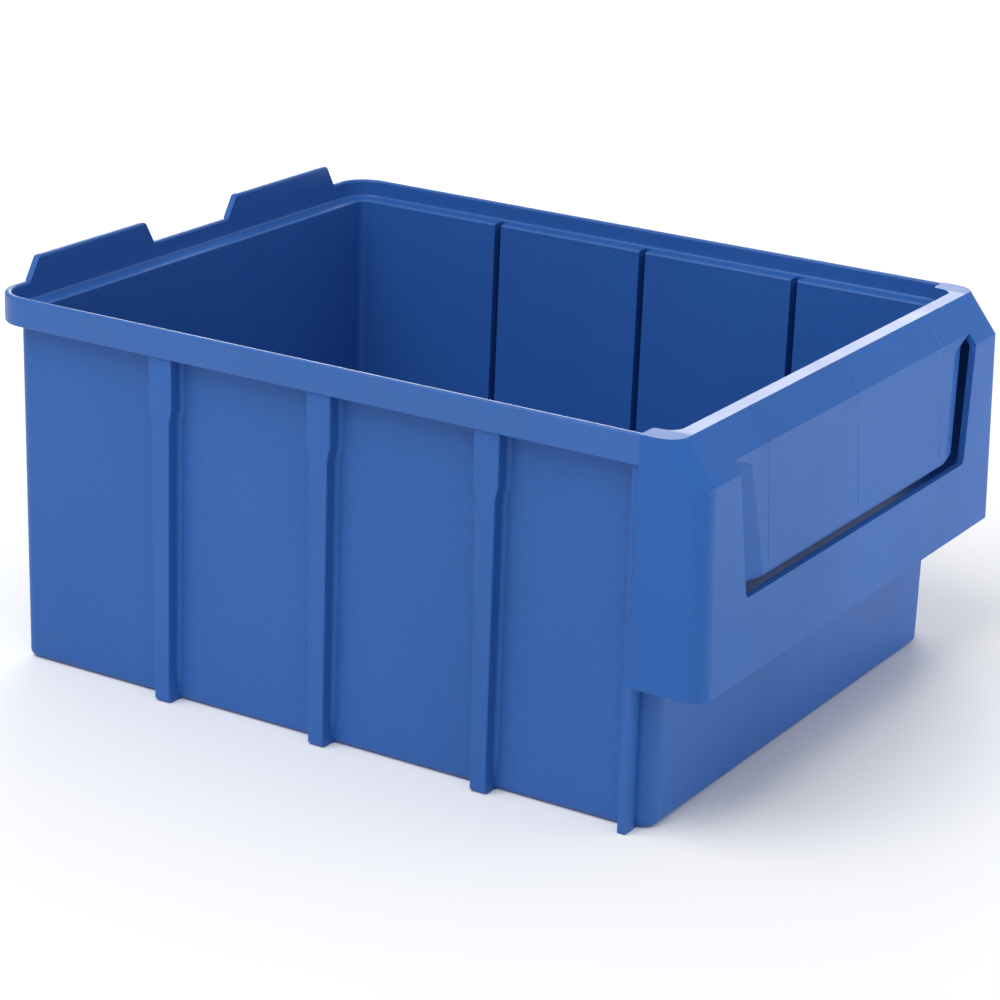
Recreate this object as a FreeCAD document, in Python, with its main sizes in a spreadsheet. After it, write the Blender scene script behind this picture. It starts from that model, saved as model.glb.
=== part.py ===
import FreeCAD, Part
import math
import os
import Sketcher
from types import SimpleNamespace

# Stackable storage bin, injection moulded in one piece. Millimetres, +Z up, front towards -Y.
# The origin is the middle of the footprint, on the surface that the bin stands on.
# The moulding is divided where a walled feature meets the next, face to face.

DIMENSIONS = [
    ("half_width", 120.0, "middle plane to the outside of the rim collar"),
    ("half_depth", 152.0, "origin to the rear face of the collar, and to the front foot of the apron"),
    ("rim_height", 145.0, "surface to the top of the rim"),
    ("wall", 2.6, "thickness of every moulded wall"),
    ("floor_thickness", 3.0, "thickness of the floor"),
    ("rim_corner_radius", 14.5, "outside corner of the rim collar, in plan"),
    ("body_half_width", 112.8, "middle plane to the outside of a side wall, at its top"),
    ("body_half_depth", 144.8, "origin to the outside of the rear wall, at its top"),
    ("rear_corner_radius", 5.5, "outside rear corner of the body walls at their top, in plan"),
    ("front_corner_radius", 7.3, "outside front corner of the body walls at their top, in plan"),
    ("wall_draft", 1.5, "how far a wall leans in from its top to the floor"),
    ("foot_radius", 3.2, "rounding where the walls turn into the underside"),
    ("floor_fillet", 1.2, "rounding where the floor meets the walls inside"),
    ("collar_depth", 11.0, "height of the rim collar"),
    ("collar_foot", 3.0, "how far the collar turns in above the stacking ledge"),
    ("collar_fillet", 1.0, "hollow rounding between collar and ledge"),
    ("ledge_drop", 7.3, "rim down to the stacking ledge"),
    ("ledge_edge_radius", 0.9, "rounding of the ledge's inner edge"),
    ("ledge_lead", 1.0, "how far the ledge's corner pieces reach along the straight walls"),
    ("rim_edge_radius", 1.1, "rounding of the rim's upper edges"),
    ("edge_radius", 0.6, "rounding of the collar's lower edge and of other free edges"),
    ("rib_middle", 4.7, "origin to the middle rib, towards the rear"),
    ("rib_pitch", 69.2, "spacing of the side ribs"),
    ("rib_strip", 15.0, "width of wall moulded with a rib"),
    ("rib_reach", 6.0, "how far a rib stands out of the wall at the top"),
    ("rib_foot_start", 0.2, "rear corner's axis to the inner end of a rib's foot"),
    ("rib_lap_height", 4.0, "height where a rib's inner end has risen into the wall"),
    ("rib_root_height", 12.0, "height where a rib's hollow roots have their full radius"),
    ("rib_width_foot", 6.6, "width of a rib at the floor"),
    ("rib_width", 8.1, "width of a rib below its shoulder"),
    ("rib_width_top", 10.3, "width of a rib above its shoulder"),
    ("rib_shoulder_low", 110.0, "height where the rib starts to widen"),
    ("rib_shoulder_high", 114.5, "height where the rib has its full width"),
    ("rib_root_radius", 1.8, "hollow rounding along both sides of a rib"),
    ("rib_edge_radius", 0.6, "rounding of a rib's outer edges"),
    ("rib_foot_chamfer", 1.2, "bevel at the outer foot of a rib"),
    ("groove_width", 3.0, "width of the groove inside each rib"),
    ("fin_reach", 5.7, "how far the front fin stands out of the side wall at the top"),
    ("fin_thickness", 3.0, "thickness of the front fin"),
    ("front_half_width", 111.5, "half width of the body in front of the fins, at the top"),
    ("apron_start", 124.0, "origin to the rear edge of the apron's cheeks"),
    ("deck_front", 138.1, "origin to the front edge of the deck"),
    ("deck_opening", 132.5, "origin to the front edge of the opening in the rim"),
    ("deck_opening_half", 110.5, "half width of the opening between the wings"),
    ("deck_opening_radius", 5.5, "corner of the opening, in plan"),
    ("wing_radius", 1.8, "rounding of the wings' free corners"),
    ("fold_front", 149.8, "origin to the fold between bevel and apron"),
    ("fold_height", 130.0, "height of the fold between bevel and apron"),
    ("apron_foot", 55.5, "height of the apron's lower edge"),
    ("apron_corner_radius", 7.0, "rounding between the apron and its cheeks"),
    ("cheek_return", 10.0, "how far a cheek reaches round the front of the apron"),
    ("window_foot", 84.2, "height of the lower edge of the label window"),
    ("window_half_foot", 89.5, "half width of the window at its lower edge"),
    ("window_half_top", 96.0, "half width of the window at its shoulders"),
    ("window_shoulder", 130.0, "height of the window's shoulders"),
    ("window_apex", 134.0, "height of the pointed upper ends of the slot"),
    ("window_apex_half", 95.6, "half width at the slot's pointed ends"),
    ("window_corner_radius", 2.5, "rounding of the window's lower corners"),
    ("tongue_foot", 86.6, "height of the tongue's lower edge"),
    ("tongue_shoulder", 129.5, "height where the tongue widens to its root"),
    ("tongue_half_foot", 85.0, "half width of the tongue above its rounded lower edge"),
    ("tongue_half_shoulder", 92.8, "half width of the tongue at its shoulders"),
    ("tongue_front", 149.8, "origin to the tongue's face at its lower edge"),
    ("tongue_edge", 5.6, "depth of the tongue's turned back edge"),
    ("tongue_bevel_width", 10.0, "width of the bevels along the tongue's sides"),
    ("tongue_bevel_depth", 2.2, "how far the bevels fall back at the tongue's outer edges"),
    ("tongue_bevel_end", 0.1, "what is left of the bevels at the slot's pointed ends"),
    ("tongue_edge_radius", 2.6, "rounding of the tongue's lower edge"),
    ("ridge_spacing", 70.0, "spacing of the card ridges on the tongue"),
    ("ridge_width", 2.4, "width of a card ridge"),
    ("ridge_height", 0.25, "height of a card ridge's crest"),
    ("ridge_foot", 92.0, "height of a card ridge's lower end"),
    ("ridge_top", 141.0, "height of a card ridge's upper end, on the bevel"),
    ("lug_inner", 24.4, "middle plane to the inner end of a rear lug"),
    ("lug_outer", 99.0, "middle plane to the outer end of a rear lug"),
    ("lug_height", 9.0, "height of a rear lug above the rim"),
    ("lug_slope", 5.5, "how far a lug's ends lean in"),
    ("lug_corner_radius", 2.0, "rounding of a lug's upper corners"),
]
MIRROR = {"left": -1, "right": 1}
REAR = 1
FRONT = -1
ROOT_OVERLAP = 0.05  # how deep a rib's hollow root dips into the wall, so that they join cleanly
NO_ROOT = 0.15  # the root's radius where a rib rises straight from the floor
PAST = 1.0  # how far a cutting outline runs on past what it cuts


class Size:
    """A length known both as a number and as a formula over the spreadsheet's cells."""

    def __init__(self, value, formula):
        self.value = value
        self.formula = formula

    def __add__(self, other):
        other = size(other)
        return Size(self.value + other.value, f"({self.formula} + {other.formula})")

    def __sub__(self, other):
        other = size(other)
        return Size(self.value - other.value, f"({self.formula} - {other.formula})")

    def __mul__(self, factor):
        return Size(self.value * factor, f"({self.formula} * ({factor}))")

    def __neg__(self):
        return self * -1


def size(number):
    """The Size of a plain number, or the Size itself."""
    if isinstance(number, Size):
        return number
    return Size(float(number), f"({float(number)})")


def along(start, end, start_height, end_height, height):
    """Where the straight line from start to end is at a height, as a Size."""
    share = (height.value - start_height.value) / (end_height.value - start_height.value)
    formula = (
        f"({start.formula} + ({end.formula} - {start.formula})"
        f" * ({height.formula} - {start_height.formula})"
        f" / ({end_height.formula} - {start_height.formula}))"
    )
    return Size(start.value + (end.value - start.value) * share, formula)


def make_sheet(document):
    """Writes the driving dimensions to the spreadsheet and returns them as Sizes."""
    sheet = document.addObject("Spreadsheet::Sheet", "Sizes")
    names = SimpleNamespace()
    for row, (alias, value, note) in enumerate(DIMENSIONS, start=1):
        sheet.set(f"A{row}", alias)
        sheet.set(f"B{row}", str(value))
        sheet.setAlias(f"B{row}", alias)
        sheet.set(f"C{row}", note)
        setattr(names, alias, Size(value, f"Sizes.{alias}"))
    return names


doc = FreeCAD.newDocument("storage_bin")
dim = make_sheet(doc)
doc.recompute()

# Places that several features share.
axis_across = dim.half_width - dim.rim_corner_radius
rear_axis = dim.half_depth - dim.rim_corner_radius
body_axis_across = dim.body_half_width - dim.rear_corner_radius
body_rear_axis = dim.body_half_depth - dim.rear_corner_radius
front_axis_across = dim.front_half_width - dim.front_corner_radius
front_axis = dim.apron_start
collar_foot_height = dim.rim_height - dim.collar_depth
ledge_height = dim.rim_height - dim.ledge_drop
wall_top = ledge_height - dim.wall
collar_inside = dim.rim_corner_radius - dim.wall
collar_foot_inside = collar_inside - dim.collar_foot
ledge_side_end = axis_across - dim.ledge_lead
ledge_rear_end = rear_axis - dim.ledge_lead
collar_inner_face = dim.half_width - dim.wall
wall_inner_face = dim.body_half_width - dim.wall
wall_middle = dim.body_half_width - dim.wall * 0.5
fin_rear = dim.apron_start - dim.fin_thickness
rib_outside = dim.body_half_width + dim.rib_reach
moulding = []


def new_body(label):
    """A body of its own for one named feature of the moulding."""
    body = doc.addObject("PartDesign::Body", "Body")
    body.Label = label
    return body


def sketch_on(body, plane, offset):
    """An empty sketch on one of the body's origin planes, moved along the plane's normal."""
    sketch = body.newObject("Sketcher::SketchObject", "Sketch")
    support = [item for item in body.Origin.OriginFeatures if item.Role == plane]
    sketch.AttachmentSupport = (support[0], [""])
    sketch.MapMode = "FlatFace"
    sketch.setExpression("AttachmentOffset.Base.z", size(offset).formula)
    return sketch


def constrain(sketch, kind, *references, length):
    """Adds a dimension to the sketch and binds it to the spreadsheet."""
    index = sketch.addConstraint(Sketcher.Constraint(kind, *references, length.value))
    sketch.setExpression(f"Constraints[{index}]", length.formula)


def round_corner(sketch, here, into, out, radius, lines):
    """Joins two of the sketch's lines with an arc tangent to both."""
    half_angle = into.getAngle(out) / 2
    centre = here + (into + out).normalize() * (radius.value / math.sin(half_angle))
    reach = radius.value / math.tan(half_angle)
    first = here + into * reach - centre
    last = here + out * reach - centre
    turns_left = into.cross(out).z < 0
    ends = (first, last) if turns_left else (last, first)
    angles = [math.atan2(end.y, end.x) for end in ends]
    circle = Part.Circle(centre, FreeCAD.Vector(0, 0, 1), radius.value)
    arc = sketch.addGeometry(Part.ArcOfCircle(circle, *angles), False)
    arc_first, arc_last = (1, 2) if turns_left else (2, 1)
    corner = sketch.addGeometry(Part.Point(here), True)
    sketch.addConstraint(Sketcher.Constraint("Tangent", lines[0], 2, arc, arc_first))
    sketch.addConstraint(Sketcher.Constraint("Tangent", arc, arc_last, lines[1], 1))
    sketch.addConstraint(Sketcher.Constraint("PointOnObject", corner, 1, lines[0]))
    sketch.addConstraint(Sketcher.Constraint("PointOnObject", corner, 1, lines[1]))
    constrain(sketch, "Radius", arc, length=radius)
    return corner


def draw_outline(sketch, corners):
    """Draws a closed outline. Each corner is (across, up) or (across, up, radius)."""
    corners = [tuple(size(item) for item in corner) for corner in corners]
    points = [FreeCAD.Vector(corner[0].value, corner[1].value, 0) for corner in corners]
    count = len(points)
    into = [(points[i - 1] - points[i]).normalize() for i in range(count)]
    out = [(points[(i + 1) % count] - points[i]).normalize() for i in range(count)]
    reach = [
        corners[i][2].value / math.tan(into[i].getAngle(out[i]) / 2) if len(corners[i]) > 2 else 0
        for i in range(count)
    ]
    lines = []
    for i in range(count):
        following = (i + 1) % count
        start = points[i] + out[i] * reach[i]
        end = points[following] + into[following] * reach[following]
        lines.append(sketch.addGeometry(Part.LineSegment(start, end), False))
    for i in range(count):
        pair = (lines[i - 1], lines[i])
        if len(corners[i]) > 2:
            corner = round_corner(sketch, points[i], into[i], out[i], corners[i][2], pair)
        else:
            corner = lines[i]
            sketch.addConstraint(Sketcher.Constraint("Coincident", pair[0], 2, pair[1], 1))
        constrain(sketch, "DistanceX", -1, 1, corner, 1, length=corners[i][0])
        constrain(sketch, "DistanceY", -1, 1, corner, 1, length=corners[i][1])


def extrude(body, kind, plane, offset, corners, length, symmetric=False, reverse=False):
    """Adds a Pad or Pocket of an outline to the body."""
    sketch = sketch_on(body, plane, offset)
    draw_outline(sketch, corners)
    feature = body.newObject(f"PartDesign::{kind}", kind)
    feature.Profile = sketch
    feature.setExpression("Length", size(length).formula)
    feature.SideType = "Symmetric" if symmetric else "One side"
    feature.Reversed = reverse
    return feature


def fillet_edges(body, radius, wanted):
    """Rounds those edges of the body that the test picks."""
    doc.recompute()
    base = body.Tip
    names = [f"Edge{i}" for i, edge in enumerate(base.Shape.Edges, start=1) if wanted(edge)]
    if not names:
        raise ValueError(f"{body.Label}: no edge to round")
    feature = body.newObject("PartDesign::Fillet", "Fillet")
    feature.Base = (base, names)
    feature.setExpression("Radius", radius.formula)
    doc.recompute()
    return feature


def middle(edge):
    """The point half way along an edge."""
    first, last = edge.ParameterRange
    return edge.valueAt((first + last) / 2)


def close(value, target, reach=0.05):
    """Whether a coordinate is at a Size."""
    return abs(value - target.value) < reach


def keep(body):
    """Counts a finished object among the parts that are written out."""
    moulding.append(body)
    return body


# Sections through the moulding: distance out from the corner axis, and height.

def wall_section(corner_radius):
    """Body wall with its share of the floor's rounded edge."""
    foot = corner_radius - dim.wall_draft
    return [
        (0, 0),
        (foot, 0, dim.foot_radius),
        (corner_radius, wall_top),
        (corner_radius - dim.wall, wall_top),
        (foot - dim.wall, dim.floor_thickness, dim.floor_fillet),
        (0, dim.floor_thickness),
    ]


def collar_section(top):
    """Rim collar with the foot that turns in to the stacking ledge."""
    return [
        (collar_foot_inside, wall_top),
        (collar_inside, wall_top),
        (collar_inside, collar_foot_height),
        (dim.rim_corner_radius, collar_foot_height, dim.edge_radius),
        (dim.rim_corner_radius, top, dim.rim_edge_radius),
        (collar_inside, top, dim.rim_edge_radius),
        (collar_inside, ledge_height, dim.collar_fillet),
        (collar_foot_inside, ledge_height),
    ]


def ledge_section():
    """Stacking ledge on top of the body walls."""
    inner_edge = wall_inner_face - axis_across
    return [
        (inner_edge, wall_top),
        (collar_foot_inside, wall_top),
        (collar_foot_inside, ledge_height),
        (inner_edge, ledge_height, dim.ledge_edge_radius),
    ]


def placed(section, start, sign):
    """A section's corners, measured from the middle plane or the origin."""
    return [((start + size(corner[0])) * sign,) + tuple(corner[1:]) for corner in section]


# Straight runs and turned corners of a section.

def side_run(label, side, section, across, rear, front):
    """A section carried along a side, from its rear end to its front end."""
    body = new_body(label)
    extrude(body, "Pad", "XZ_Plane", -rear, placed(section, across, MIRROR[side]), rear - front)
    return keep(body)


def cross_run(label, section, depth, end, start, finish):
    """A section carried across the rear or the front, between two distances from the middle."""
    body = new_body(label)
    extrude(body, "Pad", "YZ_Plane", start, placed(section, depth, end), finish - start)
    return keep(body)


def turned_corner(label, side, section, across, depth, end):
    """A quarter turn of a section about an upright axis."""
    body = new_body(label)
    sign = MIRROR[side]
    sketch = sketch_on(body, "XZ_Plane", depth * -end)
    draw_outline(sketch, placed(section, across, sign))
    axis_foot = FreeCAD.Vector(across.value * sign, 0, 0)
    axis_top = FreeCAD.Vector(across.value * sign, dim.rim_height.value, 0)
    axis = sketch.addGeometry(Part.LineSegment(axis_foot, axis_top), True)
    sketch.addConstraint(Sketcher.Constraint("Vertical", axis))
    constrain(sketch, "DistanceX", -1, 1, axis, 1, length=across * sign)
    sketch.addConstraint(Sketcher.Constraint("PointOnObject", axis, 1, -1))
    constrain(sketch, "DistanceY", -1, 1, axis, 2, length=dim.rim_height)
    feature = body.newObject("PartDesign::Revolution", "Revolution")
    feature.Profile = sketch
    feature.ReferenceAxis = (sketch, ["Axis0"])
    feature.Angle = 90
    feature.Reversed = sign * end < 0
    return keep(body)


def rib_place(number):
    """Where a side rib is along the bin. Rib 1 is the rear one."""
    return dim.rib_middle + dim.rib_pitch * (2 - number)


# The tub.

def floor_pan():
    """Flat floor between the rounded feet of the walls."""
    body = new_body("floor_pan")
    corners = [
        (body_axis_across, body_rear_axis),
        (-body_axis_across, body_rear_axis),
        (-body_axis_across, -fin_rear),
        (-front_axis_across, -fin_rear),
        (-front_axis_across, -front_axis),
        (front_axis_across, -front_axis),
        (front_axis_across, -fin_rear),
        (body_axis_across, -fin_rear),
    ]
    extrude(body, "Pad", "XY_Plane", 0, corners, dim.floor_thickness)
    keep(body)


def side_panels(side):
    """The stretches of side wall between the ribs."""
    half_strip = dim.rib_strip * 0.5
    section = wall_section(dim.rear_corner_radius)
    rears = [body_rear_axis] + [rib_place(number) - half_strip for number in (1, 2, 3)]
    fronts = [rib_place(number) + half_strip for number in (1, 2, 3)] + [-fin_rear]
    for number, (rear, front) in enumerate(zip(rears, fronts), start=1):
        side_run(f"side_panel_{side}_{number}", side, section, body_axis_across, rear, front)


def rib_outline(height, inside, width, root_radius, setback):
    """Plan of the rib at a height: its outer face, its rounded edges and its hollow roots.

    All but the place along the bin, which the caller adds. The outline starts inside the wall.
    """
    rib_foot = rib_outside - dim.wall_draft
    wall_foot = dim.body_half_width - dim.wall_draft
    outside = along(rib_foot, rib_outside, size(0), collar_foot_height, height) - setback
    root = along(wall_foot, dim.body_half_width, size(0), wall_top, height) - ROOT_OVERLAP
    half = width * 0.5
    flare = half + root_radius + NO_ROOT
    return [
        (inside, flare),
        (root, flare),
        (root, half, root_radius),
        (outside, half, dim.rib_edge_radius),
    ]


def rib_block(body, sign, place):
    """The solid rib on the wall, as a ruled loft through level outlines."""
    in_floor = body_axis_across + dim.rib_foot_start
    in_wall = wall_middle - dim.wall_draft
    no_root = size(NO_ROOT)
    foot = dim.rib_width_foot
    levels = [
        (size(0), in_floor, foot, no_root, dim.rib_foot_chamfer),
        (dim.rib_foot_chamfer, in_floor, foot, no_root, 0),
        (dim.rib_lap_height, in_wall, foot, no_root, 0),
        (dim.rib_root_height, in_wall, foot, dim.rib_root_radius, 0),
        (dim.rib_shoulder_low, wall_middle, dim.rib_width, dim.rib_root_radius, 0),
        (dim.rib_shoulder_high, wall_middle, dim.rib_width_top, dim.rib_root_radius, 0),
        (collar_foot_height, wall_middle, dim.rib_width_top, dim.rib_root_radius, 0),
    ]
    sketches = []
    for height, inside, width, root_radius, setback in levels:
        half = rib_outline(height, inside, width, root_radius, setback)
        front = [(across * sign, place - up, *radius) for across, up, *radius in half]
        rear = [(across * sign, place + up, *radius) for across, up, *radius in half[::-1]]
        sketch = sketch_on(body, "XY_Plane", height)
        draw_outline(sketch, front + rear)
        sketches.append(sketch)
    loft = body.newObject("PartDesign::AdditiveLoft", "RibLoft")
    loft.Profile = sketches[0]
    loft.Sections = sketches[1:]
    loft.Ruled = True


def side_rib(side, number):
    """A hollow rib: a strip of wall, the rib outside it and the groove inside it."""
    sign = MIRROR[side]
    place = rib_place(number)
    half_strip = dim.rib_strip * 0.5
    section = wall_section(dim.rear_corner_radius)
    body = side_run(f"side_rib_{side}_{number}", side, section, body_axis_across,
                    place + half_strip, place - half_strip)
    rib_block(body, sign, place)
    half_top = dim.rib_width_top * 0.5
    cap = [
        (wall_middle * sign, place - half_top),
        (collar_inner_face * sign, place - half_top),
        (collar_inner_face * sign, place + half_top),
        (wall_middle * sign, place + half_top),
    ]
    extrude(body, "Pad", "XY_Plane", collar_foot_height, cap, wall_top - collar_foot_height)
    groove_floor = dim.floor_thickness + dim.floor_fillet
    groove = [
        (axis_across * sign, groove_floor),
        ((rib_outside - dim.wall_draft - dim.wall) * sign, groove_floor),
        ((rib_outside - dim.wall) * sign, wall_top + PAST),
        (axis_across * sign, wall_top + PAST),
    ]
    extrude(body, "Pocket", "XZ_Plane", -place, groove, dim.groove_width, symmetric=True)


def front_fin(side):
    """The thin upright fin behind each cheek, which also joins side wall and front corner."""
    body = new_body(f"front_fin_{side}")
    outside = dim.body_half_width + dim.fin_reach
    inside = dim.front_half_width - dim.wall
    section = [
        (front_axis_across, 0),
        (outside - dim.wall_draft, 0, dim.edge_radius),
        (outside, collar_foot_height),
        (collar_inner_face, collar_foot_height),
        (collar_inner_face, wall_top),
        (inside, wall_top),
        (inside - dim.wall_draft, dim.floor_thickness, dim.floor_fillet),
        (front_axis_across, dim.floor_thickness),
    ]
    corners = mirrored(section, MIRROR[side])
    extrude(body, "Pad", "XZ_Plane", fin_rear, corners, dim.fin_thickness)
    keep(body)


# The rim and the apron at the front.

def mirrored(corners, sign=-1):
    """The corners on the other side of the middle plane, or unchanged for a sign of 1."""
    return [(size(across) * sign, up, *radius) for across, up, *radius in corners]


def front_ring(label, height, thickness, inner, outer):
    """A plate round the front of the rim, even about the middle plane.

    Inner runs from the front to the rear on the right side, and outer runs back again.
    """
    body = new_body(label)
    corners = mirrored(inner[::-1]) + inner + outer + mirrored(outer[::-1])
    extrude(body, "Pad", "XY_Plane", height, corners, thickness)
    keep(body)


def riser_outline():
    """The outside of the upright band that drops from the deck to the ledge."""
    across = dim.deck_opening_half + dim.wall
    return [
        (collar_inner_face, -(dim.apron_start + dim.wall)),
        (across, -(dim.apron_start + dim.wall)),
        (across, -(dim.deck_opening + dim.wall), dim.deck_opening_radius + dim.wall),
    ]


def front_riser():
    """The upright band between the front ledge and the deck."""
    inner = [
        (dim.deck_opening_half, -dim.deck_opening, dim.deck_opening_radius),
        (dim.deck_opening_half, -dim.apron_start, dim.wing_radius),
        (collar_inner_face, -dim.apron_start),
    ]
    thickness = dim.rim_height - dim.wall - ledge_height
    front_ring("front_riser", ledge_height, thickness, inner, riser_outline())


def front_ledge():
    """The stacking ledge across the front, over the fins and the front wall."""
    inside = dim.front_corner_radius - dim.wall
    across = front_axis_across + inside
    inner = [
        (across, -(front_axis + inside), inside),
        (across, -fin_rear),
    ]
    outer = [
        (axis_across + collar_foot_inside, -fin_rear),
        (axis_across + collar_foot_inside, -dim.apron_start),
        (collar_inner_face, -dim.apron_start),
    ]
    front_ring("front_ledge", wall_top, dim.wall, inner, outer + riser_outline())


def bevel_front(height):
    """Distance from the origin to the bevel's face at a height."""
    return along(dim.deck_front, dim.fold_front, dim.rim_height, dim.fold_height, height)


def apron_shell():
    """Deck, bevel, apron and cheeks as one shell, with the opening and the label window."""
    body = new_body("apron_shell")
    profile = [
        (-dim.apron_start, dim.apron_foot),
        (-dim.half_depth, dim.apron_foot),
        (-dim.fold_front, dim.fold_height),
        (-dim.deck_front, dim.rim_height),
        (-dim.apron_start, dim.rim_height),
    ]
    extrude(body, "Pad", "YZ_Plane", 0, profile, dim.half_width * 2, symmetric=True)

    def front_corner(edge):
        point = middle(edge)
        low = dim.apron_foot.value + PAST
        high = dim.rim_height.value - PAST
        return close(abs(point.x), dim.half_width) and low < point.z < high and (
            point.y < -dim.deck_front.value
        )

    fillet_edges(body, dim.apron_corner_radius, front_corner)
    solid = body.Tip
    open_faces = [
        f"Face{i}" for i, face in enumerate(solid.Shape.Faces, start=1)
        if close(face.CenterOfMass.z, dim.apron_foot) or close(-face.CenterOfMass.y, dim.apron_start)
    ]
    shell = body.newObject("PartDesign::Thickness", "Thickness")
    shell.Base = (solid, open_faces)
    shell.setExpression("Value", dim.wall.formula)
    shell.Reversed = True
    shell.Mode = "Skin"
    shell.Join = "Arc"
    doc.recompute()
    opening = [
        (-dim.deck_opening_half, -dim.apron_start + PAST),
        (-dim.deck_opening_half, -dim.deck_opening, dim.deck_opening_radius),
        (dim.deck_opening_half, -dim.deck_opening, dim.deck_opening_radius),
        (dim.deck_opening_half, -dim.apron_start + PAST),
    ]
    extrude(body, "Pocket", "XY_Plane", dim.rim_height + PAST, opening, dim.wall + PAST * 2)
    window = [
        (dim.window_half_foot, dim.window_foot, dim.window_corner_radius),
        (dim.window_half_top, dim.window_shoulder),
        (dim.window_apex_half, dim.window_apex),
    ]
    window = window + mirrored(window[::-1])
    extrude(body, "Pocket", "XZ_Plane", dim.half_depth + PAST, window, dim.half_depth - dim.deck_front)

    def wing_corner(edge):
        point = middle(edge)
        return (
            close(abs(point.x), dim.deck_opening_half)
            and close(-point.y, dim.apron_start)
            and point.z > wall_top.value
        )

    fillet_edges(body, dim.wing_radius, wing_corner)
    return body


def apron_region(label, shell, start, end):
    """The part of the shell inside a box between two corners."""
    box = doc.addObject("Part::Box", "Region")
    for side, low, high in zip(("Length", "Width", "Height"), start, end):
        box.setExpression(side, (size(high) - low).formula)
    for direction, low in zip("xyz", start):
        box.setExpression(f"Placement.Base.{direction}", size(low).formula)
    piece = doc.addObject("Part::Common", "Common")
    piece.Base = shell
    piece.Tool = box
    piece.Label = label
    keep(piece)


def apron():
    """Divides the apron shell into its named features."""
    shell = apron_shell()
    front = -(dim.half_depth + PAST)
    rear = -(dim.apron_start - PAST)
    above = dim.rim_height + PAST
    below = dim.apron_foot - PAST
    seam = dim.half_width - dim.cheek_return
    outside = dim.half_width + PAST
    deck = -dim.deck_front
    apron_region("front_deck", shell, (-seam, deck, dim.fold_height), (seam, rear, above))
    apron_region("apron_bevel", shell, (-seam, front, dim.fold_height), (seam, deck, above))
    apron_region("apron_lower_band", shell, (-seam, front, below), (seam, rear, dim.window_foot))
    middle_band = (dim.window_foot, dim.fold_height)
    for side, ends in (("left", (-seam, size(0))), ("right", (size(0), seam))):
        apron_region(f"apron_side_{side}", shell, (ends[0], front, middle_band[0]),
                     (ends[1], deck, middle_band[1]))
    for side, ends in (("left", (-outside, -seam)), ("right", (seam, outside))):
        apron_region(f"apron_cheek_{side}", shell, (ends[0], front, below), (ends[1], rear, above))


def tongue_face(height):
    """Distance from the origin to the tongue's face at a height."""
    return along(dim.tongue_front, bevel_front(dim.window_apex), dim.tongue_foot,
                 dim.window_apex, height)


def tongue_level(body, height, half, setback, bevel_width, bevel_depth):
    """Plan of the tongue at a height: its face, its bevelled sides and its straight back."""
    face = tongue_face(height) - setback
    right = [
        (half - bevel_width, -face),
        (half, -(face - bevel_depth)),
        (half, -(tongue_face(height) - dim.tongue_edge)),
    ]
    sketch = sketch_on(body, "XY_Plane", height)
    draw_outline(sketch, right + mirrored(right[::-1]))
    return sketch


def label_tongue():
    """The springy plate that hangs in the window and holds a card against the apron."""
    body = new_body("label_tongue")
    bevel = (dim.tongue_bevel_width, dim.tongue_bevel_depth)
    levels = []
    for angle in (0, 30, 60, 90):
        height = dim.tongue_foot + dim.tongue_edge_radius * (1 - math.cos(math.radians(angle)))
        setback = dim.tongue_edge_radius * (1 - math.sin(math.radians(angle)))
        levels.append(tongue_level(body, height, dim.tongue_half_foot - setback, setback, *bevel))
    levels.append(tongue_level(body, dim.tongue_shoulder, dim.tongue_half_shoulder, 0, *bevel))
    levels.append(tongue_level(body, dim.window_apex, dim.window_apex_half, 0,
                               dim.tongue_bevel_end, dim.tongue_bevel_end))
    loft = body.newObject("PartDesign::AdditiveLoft", "TongueLoft")
    loft.Profile = levels[0]
    loft.Sections = levels[1:]
    loft.Ruled = True
    hollow_foot = dim.tongue_foot + dim.wall
    hollow_top = dim.window_apex - dim.wall
    behind = dim.tongue_front - dim.tongue_edge * 2
    back = [
        (-(tongue_face(hollow_foot) - dim.wall), hollow_foot),
        (-(tongue_face(hollow_top) - dim.wall), hollow_top),
        (-behind, hollow_top),
        (-behind, hollow_foot),
    ]
    hollow_half = dim.tongue_half_foot - dim.tongue_bevel_width
    extrude(body, "Pocket", "YZ_Plane", 0, back, hollow_half * 2, symmetric=True)
    keep(body)


def card_ridges():
    """Three faint upright ridges, with a sharp crest, that run down the bevel and the tongue."""
    levels = [
        (dim.ridge_foot, tongue_face(dim.ridge_foot)),
        (dim.window_apex, bevel_front(dim.window_apex)),
        (dim.ridge_top, bevel_front(dim.ridge_top)),
    ]
    half = dim.ridge_width * 0.5
    for name, place in (("left", -1), ("middle", 0), ("right", 1)):
        body = new_body(f"card_ridge_{name}")
        across = dim.ridge_spacing * place
        sketches = []
        for height, face in levels:
            sketch = sketch_on(body, "XY_Plane", height)
            outline = [
                (across - half, -face),
                (across, -(face + dim.ridge_height)),
                (across + half, -face),
            ]
            draw_outline(sketch, outline)
            sketches.append(sketch)
        loft = body.newObject("PartDesign::AdditiveLoft", "RidgeLoft")
        loft.Profile = sketches[0]
        loft.Sections = sketches[1:]
        loft.Ruled = True
        keep(body)


# The rim collar, the stacking ledge and the rear lugs.

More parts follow.
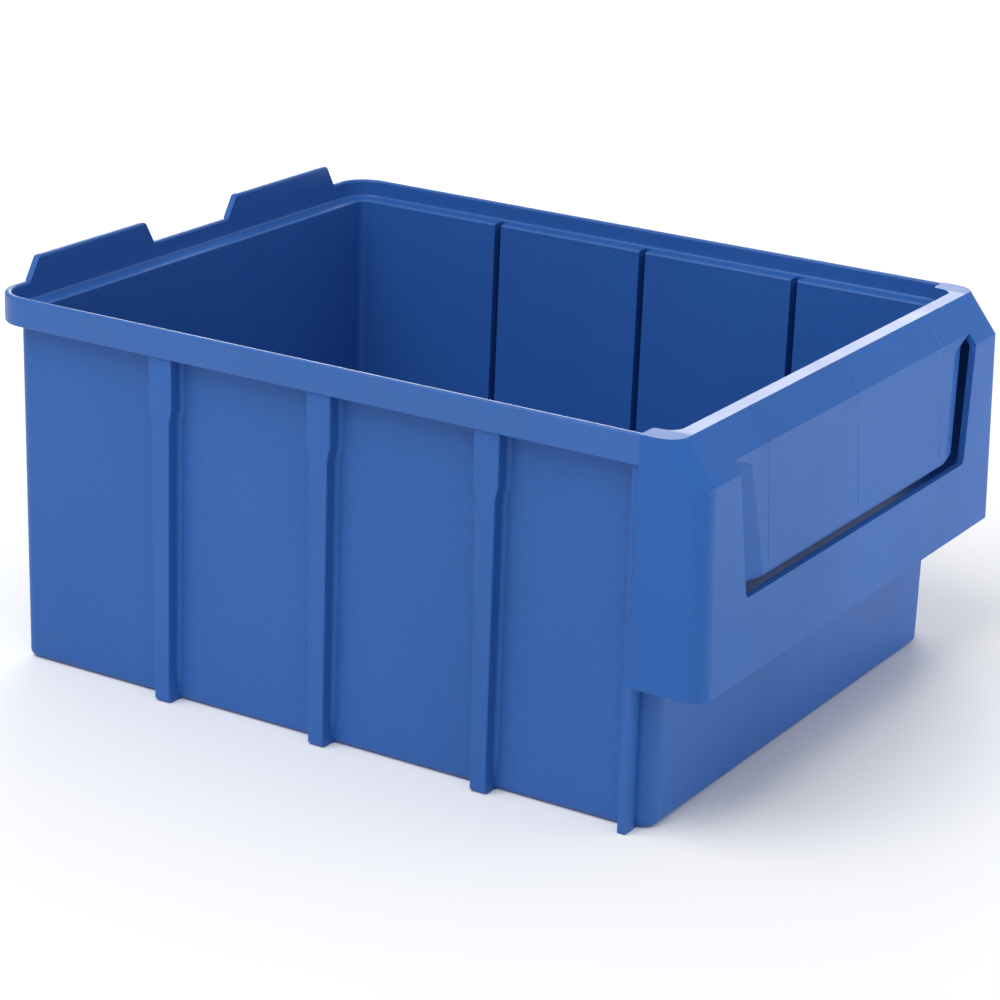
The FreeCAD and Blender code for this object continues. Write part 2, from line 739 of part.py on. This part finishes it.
def side_rim(side):
    """Collar and ledge along a side, open where the rib grooves come up through them."""
    sign = MIRROR[side]
    half_groove = dim.groove_width * 0.5
    rears = [ledge_rear_end] + [rib_place(number) - half_groove for number in (1, 2, 3)]
    fronts = [rib_place(number) + half_groove for number in (1, 2, 3)] + [-fin_rear]
    for number, (rear, front) in enumerate(zip(rears, fronts), start=1):
        side_run(f"ledge_{side}_{number}", side, ledge_section(), axis_across, rear, front)
    collar = side_run(f"rim_collar_{side}", side, collar_section(dim.rim_height), axis_across,
                      rear_axis, -dim.apron_start)
    reach = rib_outside - dim.wall
    for number in (1, 2, 3):
        place = rib_place(number)
        notch = [
            (wall_inner_face * sign, place - half_groove),
            (reach * sign, place - half_groove),
            (reach * sign, place + half_groove),
            (wall_inner_face * sign, place + half_groove),
        ]
        extrude(collar, "Pocket", "XY_Plane", dim.rim_height, notch, dim.collar_depth)


def ledge_corner(side):
    """The ledge round a rear corner, wide where the walls turn more sharply than the collar."""
    sign = MIRROR[side]
    body = new_body(f"ledge_corner_{side}")
    inner_across = wall_inner_face
    inner_depth = dim.body_half_depth - dim.wall
    outer_across = axis_across + collar_foot_inside
    outer_depth = rear_axis + collar_foot_inside
    outline = [
        (inner_across, ledge_rear_end),
        (inner_across, inner_depth, dim.rear_corner_radius - dim.wall),
        (ledge_side_end, inner_depth),
        (ledge_side_end, outer_depth),
        (outer_across, outer_depth, collar_foot_inside),
        (outer_across, ledge_rear_end),
    ]
    extrude(body, "Pad", "XY_Plane", wall_top, mirrored(outline, sign), dim.wall)

    def inner_edge(edge):
        point = middle(edge)
        return (
            close(point.z, ledge_height)
            and abs(point.x) < inner_across.value + dim.edge_radius.value
            and point.y < inner_depth.value + dim.edge_radius.value
            and not close(point.y, ledge_rear_end)
            and not close(abs(point.x), ledge_side_end)
        )

    fillet_edges(body, dim.ledge_edge_radius, inner_edge)
    keep(body)


def rear_lug(side):
    """A lug on the rear collar that locates the bin stacked on top, with its share of collar."""
    sign = MIRROR[side]
    ends = sorted((dim.lug_inner * sign, dim.lug_outer * sign), key=lambda end: end.value)
    top = dim.rim_height + dim.lug_height
    body = cross_run(f"rear_lug_{side}", collar_section(top), rear_axis, REAR, *ends)
    for end, inward in zip(ends, (1, -1)):
        cut = [
            (end - inward * PAST, dim.rim_height),
            (end, dim.rim_height),
            (end + dim.lug_slope * inward, top, dim.lug_corner_radius),
            (end + dim.lug_slope * (2 * inward), top),
            (end + dim.lug_slope * (2 * inward), top + PAST),
            (end - inward * PAST, top + PAST),
        ]
        extrude(body, "Pocket", "XZ_Plane", -rear_axis, cut, dim.half_depth - rear_axis + PAST)


def rim():
    """Everything at the level of the rim, behind the front deck."""
    section = collar_section(dim.rim_height)
    for side, sign in MIRROR.items():
        side_rim(side)
        turned_corner(f"rim_corner_{side}", side, section, axis_across, rear_axis, REAR)
        ledge_corner(side)
        rear_lug(side)
        ends = sorted((dim.lug_outer * sign, axis_across * sign), key=lambda end: end.value)
        cross_run(f"rear_collar_{side}", section, rear_axis, REAR, *ends)
    cross_run("rear_collar_middle", section, rear_axis, REAR, -dim.lug_inner, dim.lug_inner)
    cross_run("ledge_rear", ledge_section(), rear_axis, REAR, -ledge_side_end, ledge_side_end)


def tub():
    """Floor, walls, ribs and fins."""
    rear_section = wall_section(dim.rear_corner_radius)
    front_section = wall_section(dim.front_corner_radius)
    floor_pan()
    cross_run("rear_wall", rear_section, body_rear_axis, REAR, -body_axis_across, body_axis_across)
    cross_run("front_wall", front_section, front_axis, FRONT, -front_axis_across, front_axis_across)
    for side in MIRROR:
        side_panels(side)
        for number in (1, 2, 3):
            side_rib(side, number)
        front_fin(side)
        turned_corner(f"rear_corner_{side}", side, rear_section, body_axis_across,
                      body_rear_axis, REAR)
        turned_corner(f"front_corner_{side}", side, front_section, front_axis_across, front_axis,
                      FRONT)


def write_parts():
    """Checks every object of the document and writes each part to its STEP file."""
    doc.recompute()
    failed = [item.Label for item in doc.Objects if {"Invalid", "Error"} & set(item.State)]
    if failed:
        raise RuntimeError(f"failed objects: {failed}")
    os.makedirs("parts", exist_ok=True)
    for part in moulding:
        shape = part.Shape
        if shape.isNull() or not shape.isValid() or len(shape.Solids) != 1:
            raise RuntimeError(f"{part.Label}: not one valid solid")
        shape.exportStep(f"parts/{part.Label}.step")
        box = shape.BoundBox
        corners = [round(value, 1) for value in
                   (box.XMin, box.YMin, box.ZMin, box.XMax, box.YMax, box.ZMax)]
        print(part.Label, round(shape.Volume / 1000, 2), corners)


tub()
rim()
front_ledge()
front_riser()
apron()
label_tongue()
card_ridges()
write_parts()
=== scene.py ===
import math

import bpy
from mathutils import Matrix, Vector


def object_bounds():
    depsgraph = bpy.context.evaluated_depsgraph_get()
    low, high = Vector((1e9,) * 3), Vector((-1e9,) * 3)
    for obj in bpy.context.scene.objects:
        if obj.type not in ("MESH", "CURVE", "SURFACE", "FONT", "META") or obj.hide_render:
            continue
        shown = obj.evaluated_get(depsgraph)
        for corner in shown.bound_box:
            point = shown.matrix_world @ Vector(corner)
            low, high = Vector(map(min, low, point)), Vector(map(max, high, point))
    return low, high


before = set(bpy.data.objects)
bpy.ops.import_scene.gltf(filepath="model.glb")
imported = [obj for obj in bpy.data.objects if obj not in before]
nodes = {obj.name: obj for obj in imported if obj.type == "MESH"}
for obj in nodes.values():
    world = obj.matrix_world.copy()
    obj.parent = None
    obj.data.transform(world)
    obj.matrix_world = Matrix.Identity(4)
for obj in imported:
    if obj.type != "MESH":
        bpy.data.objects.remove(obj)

# A blue stackable storage bin, moulded in one piece of polypropylene. Every visible piece is a
# CAD node; this script gives them their plastic, and sets the floor, the lights and the camera.

cad_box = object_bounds()
low, high = (Vector(corner) for corner in cad_box)
centre = (low + high) / 2
depth = high.y - low.y

MILLIMETRE = 0.001
BLUE = (0.027, 0.115, 0.395)
PLASTIC_INDEX = 1.49        # refractive index of polypropylene
SHEEN_SPREAD = 0.04         # how far roughness strays either way over a wall
FLOOR_REACH = 30            # the floor's reach each way, in depths of the bin
SKY_STRENGTH = 0.62

# Camera: where it stands, which way it looks, and its lens.
CAMERA_AZIMUTH = -59.872
CAMERA_ELEVATION = 17.852
CAMERA_ROLL = -2.333
CAMERA_PLACE = Vector((-0.98293, -0.59535, 0.46328))
CAMERA_LENS = 113.854
CAMERA_SHIFT = (-0.0621, -0.0738)


# Node helpers.

def new_material(name):
    """An empty node material with a Principled shader. Returns material, tree and shader."""
    material = bpy.data.materials.new(name)
    material.use_nodes = True
    tree = material.node_tree
    tree.nodes.clear()
    output = tree.nodes.new("ShaderNodeOutputMaterial")
    shader = tree.nodes.new("ShaderNodeBsdfPrincipled")
    tree.links.new(shader.outputs["BSDF"], output.inputs["Surface"])
    return material, tree, shader


def object_place(tree, stretch=(1, 1, 1)):
    """A point's place on the object, in metres, stretched along the axes."""
    coordinates = tree.nodes.new("ShaderNodeTexCoord")
    mapping = tree.nodes.new("ShaderNodeMapping")
    mapping.inputs["Scale"].default_value = stretch
    tree.links.new(coordinates.outputs["Object"], mapping.inputs["Vector"])
    return mapping.outputs["Vector"]


def noise(tree, place, size, detail=2.0, roughness=0.5):
    """Cloudy noise whose blobs are about size metres across."""
    node = tree.nodes.new("ShaderNodeTexNoise")
    node.inputs["Scale"].default_value = 1 / size
    node.inputs["Detail"].default_value = detail
    node.inputs["Roughness"].default_value = roughness
    tree.links.new(place, node.inputs["Vector"])
    return node.outputs["Fac"]


def spread(tree, value, low_in, high_in, low_out, high_out):
    """The value moved from one range to another, and held inside it."""
    node = tree.nodes.new("ShaderNodeMapRange")
    node.inputs["From Min"].default_value = low_in
    node.inputs["From Max"].default_value = high_in
    node.inputs["To Min"].default_value = low_out
    node.inputs["To Max"].default_value = high_out
    tree.links.new(value, node.inputs["Value"])
    return node.outputs["Result"]


def combine(tree, operation, first, second):
    """Two values put together by a Math node. Either may be a plain number."""
    node = tree.nodes.new("ShaderNodeMath")
    node.operation = operation
    for socket, value in zip(node.inputs, (first, second)):
        if isinstance(value, (int, float)):
            socket.default_value = value
        else:
            tree.links.new(value, socket)
    return node.outputs["Value"]


def blend_colours(tree, share, first, second):
    """One colour fading into the other as share goes from 0 to 1."""
    node = tree.nodes.new("ShaderNodeMix")
    node.data_type = "RGBA"
    tree.links.new(share, node.inputs["Factor"])
    for socket, value in (("A", first), ("B", second)):
        target = [item for item in node.inputs if item.name == socket and item.type == "RGBA"][0]
        if isinstance(value, tuple):
            target.default_value = (*value, 1)
        else:
            tree.links.new(value, target)
    return [item for item in node.outputs if item.type == "RGBA"][0]


def bump(tree, height, depth_metres, strength, normal=None):
    """Relief of a given depth, on top of another relief if one is given."""
    node = tree.nodes.new("ShaderNodeBump")
    node.inputs["Strength"].default_value = strength
    node.inputs["Distance"].default_value = depth_metres
    tree.links.new(height, node.inputs["Height"])
    if normal is not None:
        tree.links.new(normal, node.inputs["Normal"])
    return node.outputs["Normal"]


def shade(colour, factor):
    """The colour made lighter or darker."""
    return tuple(min(1.0, part * factor) for part in colour)


# Materials.

def moulded_plastic(name, roughness, gloss, grain, scuffs=0.0):
    """Self-coloured polypropylene with the mould's fine grain.

    gloss is the strength of its reflections, grain is the depth of the spark-eroded texture in
    metres, and scuffs is from 0 to 1.
    """
    material, tree, shader = new_material(name)
    place = object_place(tree)

    # Slow changes of tone where the plastic flowed, and painted shade in the grain's tiny hollows:
    # the colour darkens where the grain's relief is low.
    flow = noise(tree, object_place(tree, (1, 1, 0.35)), size=0.09, detail=3)
    grain_noise = noise(tree, place, size=0.8 * MILLIMETRE, roughness=0.6)
    tone = combine(tree, "ADD", combine(tree, "MULTIPLY", flow, 0.5),
                   combine(tree, "MULTIPLY", grain_noise, 0.5))
    tone = spread(tree, tone, 0.32, 0.68, 0, 1)
    # The blend mixes the flow's tone with painted shade from the grain, darker blue in its hollows
    # and lighter on its peaks.
    colour = blend_colours(tree, tone, shade(BLUE, 0.86), shade(BLUE, 1.13))

    cloud = noise(tree, place, size=0.03, detail=3)
    sheen = spread(tree, cloud, 0.3, 0.7, roughness - SHEEN_SPREAD, roughness + SHEEN_SPREAD)

    if scuffs > 0:
        # Fine scratches both ways across the floor of the bin.
        across = noise(tree, object_place(tree, (1, 9, 1)), size=0.012, detail=4, roughness=0.7)
        along = noise(tree, object_place(tree, (11, 1, 1)), size=0.014, detail=4, roughness=0.7)
        marks = combine(tree, "MAXIMUM", across, along)
        marks = spread(tree, marks, 0.62, 0.74, 0, scuffs)
        colour = blend_colours(tree, marks, colour, shade(BLUE, 1.9))
        sheen = combine(tree, "ADD", sheen, combine(tree, "MULTIPLY", marks, 0.15))

    # A barely wavy wall, with the grain on top of it.
    swell = noise(tree, place, size=0.028, detail=1)
    waves = bump(tree, swell, 0.12 * MILLIMETRE, strength=0.5)
    normal = bump(tree, grain_noise, grain, strength=0.6, normal=waves)

    tree.links.new(colour, shader.inputs["Base Color"])
    tree.links.new(sheen, shader.inputs["Roughness"])
    tree.links.new(normal, shader.inputs["Normal"])
    shader.inputs["IOR"].default_value = PLASTIC_INDEX
    shader.inputs["Specular IOR Level"].default_value = gloss
    return material


def floor_paint():
    """Pale matt studio floor."""
    material, tree, shader = new_material("studio_floor")
    cloud = noise(tree, object_place(tree), size=0.6)
    tone = spread(tree, cloud, 0.3, 0.7, 0, 1)
    colour = blend_colours(tree, tone, (0.94, 0.94, 0.94), (0.96, 0.96, 0.96))
    tree.links.new(colour, shader.inputs["Base Color"])
    shader.inputs["Roughness"].default_value = 0.9
    return material


def dress_nodes():
    """Gives each CAD node the plastic of its place on the moulding."""
    outside = moulded_plastic("plastic_walls", 0.42, 0.24, 0.022 * MILLIMETRE)
    rim = moulded_plastic("plastic_rim", 0.34, 0.36, 0.014 * MILLIMETRE)
    apron = moulded_plastic("plastic_apron", 0.38, 0.13, 0.018 * MILLIMETRE)
    floor = moulded_plastic("plastic_floor", 0.44, 0.36, 0.022 * MILLIMETRE, scuffs=0.25)
    by_start = (
        (("floor_pan",), floor),
        (("apron", "label", "card"), apron),
        (("rim", "ledge", "rear_collar", "rear_lug"), rim),
        (("front_ledge", "front_riser", "front_deck"), rim),
    )
    for name, node in nodes.items():
        material = next((item for starts, item in by_start if name.startswith(starts)), outside)
        node.data.materials.clear()
        node.data.materials.append(material)


# Stage.

def backwards(azimuth, elevation):
    """The way from a target to whatever looks at it, for angles in degrees."""
    turn = math.radians(azimuth)
    lift = math.radians(elevation)
    return Vector((
        math.sin(turn) * math.cos(lift),
        -math.cos(turn) * math.cos(lift),
        math.sin(lift),
    ))


def studio_floor():
    """A large flat floor that the bin stands on."""
    reach = depth * FLOOR_REACH
    mesh = bpy.data.meshes.new("studio_floor")
    corners = [(-reach, -reach), (reach, -reach), (reach, reach), (-reach, reach)]
    mesh.from_pydata([(x, y, low.z) for x, y in corners], [], [(0, 1, 2, 3)])
    floor = bpy.data.objects.new("studio_floor", mesh)
    bpy.context.scene.collection.objects.link(floor)
    mesh.materials.append(floor_paint())


def soft_light(name, azimuth, elevation, distance, width, height, power, target):
    """A soft box that looks at a place from a direction, given as the camera's angles are."""
    light = bpy.data.lights.new(name, "AREA")
    light.shape = "RECTANGLE"
    light.size = width
    light.size_y = height
    light.energy = power
    lamp = bpy.data.objects.new(name, light)
    bpy.context.scene.collection.objects.link(lamp)
    back = backwards(azimuth, elevation)
    lamp.location = target + back * distance
    lamp.rotation_euler = back.to_track_quat("Z", "Y").to_euler()


def studio_lights():
    """White surroundings, a high key at the left, a low light on the apron, and a glare behind."""
    world = bpy.data.worlds.new("studio")
    world.use_nodes = True
    background = world.node_tree.nodes["Background"]
    background.inputs["Color"].default_value = (1, 1, 1, 1)
    background.inputs["Strength"].default_value = SKY_STRENGTH
    bpy.context.scene.world = world
    apron_middle = Vector((centre.x, low.y, low.z + (high.z - low.z) / 2))
    soft_light("key", -100, 58, 1.6, 1.2, 1.2, 15, centre)
    soft_light("glare", 120, 17, 1.6, 0.9, 0.9, 10, centre)
    soft_light("front", 30, 0, 0.6, 0.5, 0.13, 1.3, apron_middle)
    bpy.context.scene.view_settings.view_transform = "Standard"


def camera():
    """The photograph's viewpoint."""
    roll = math.radians(CAMERA_ROLL)
    back = backwards(CAMERA_AZIMUTH, CAMERA_ELEVATION)
    level = (-back).cross(Vector((0, 0, 1))).normalized()
    down = (-back).cross(level)
    right = level * math.cos(roll) + down * math.sin(roll)
    up = level * math.sin(roll) - down * math.cos(roll)
    lens = bpy.data.cameras.new("camera")
    lens.sensor_width = 36
    lens.lens = CAMERA_LENS
    lens.shift_x, lens.shift_y = CAMERA_SHIFT
    eye = bpy.data.objects.new("camera", lens)
    bpy.context.scene.collection.objects.link(eye)
    axes = Matrix((right, up, back)).transposed()
    eye.matrix_world = Matrix.Translation(CAMERA_PLACE) @ axes.to_4x4()
    bpy.context.scene.camera = eye


dress_nodes()
studio_floor()
studio_lights()
camera()
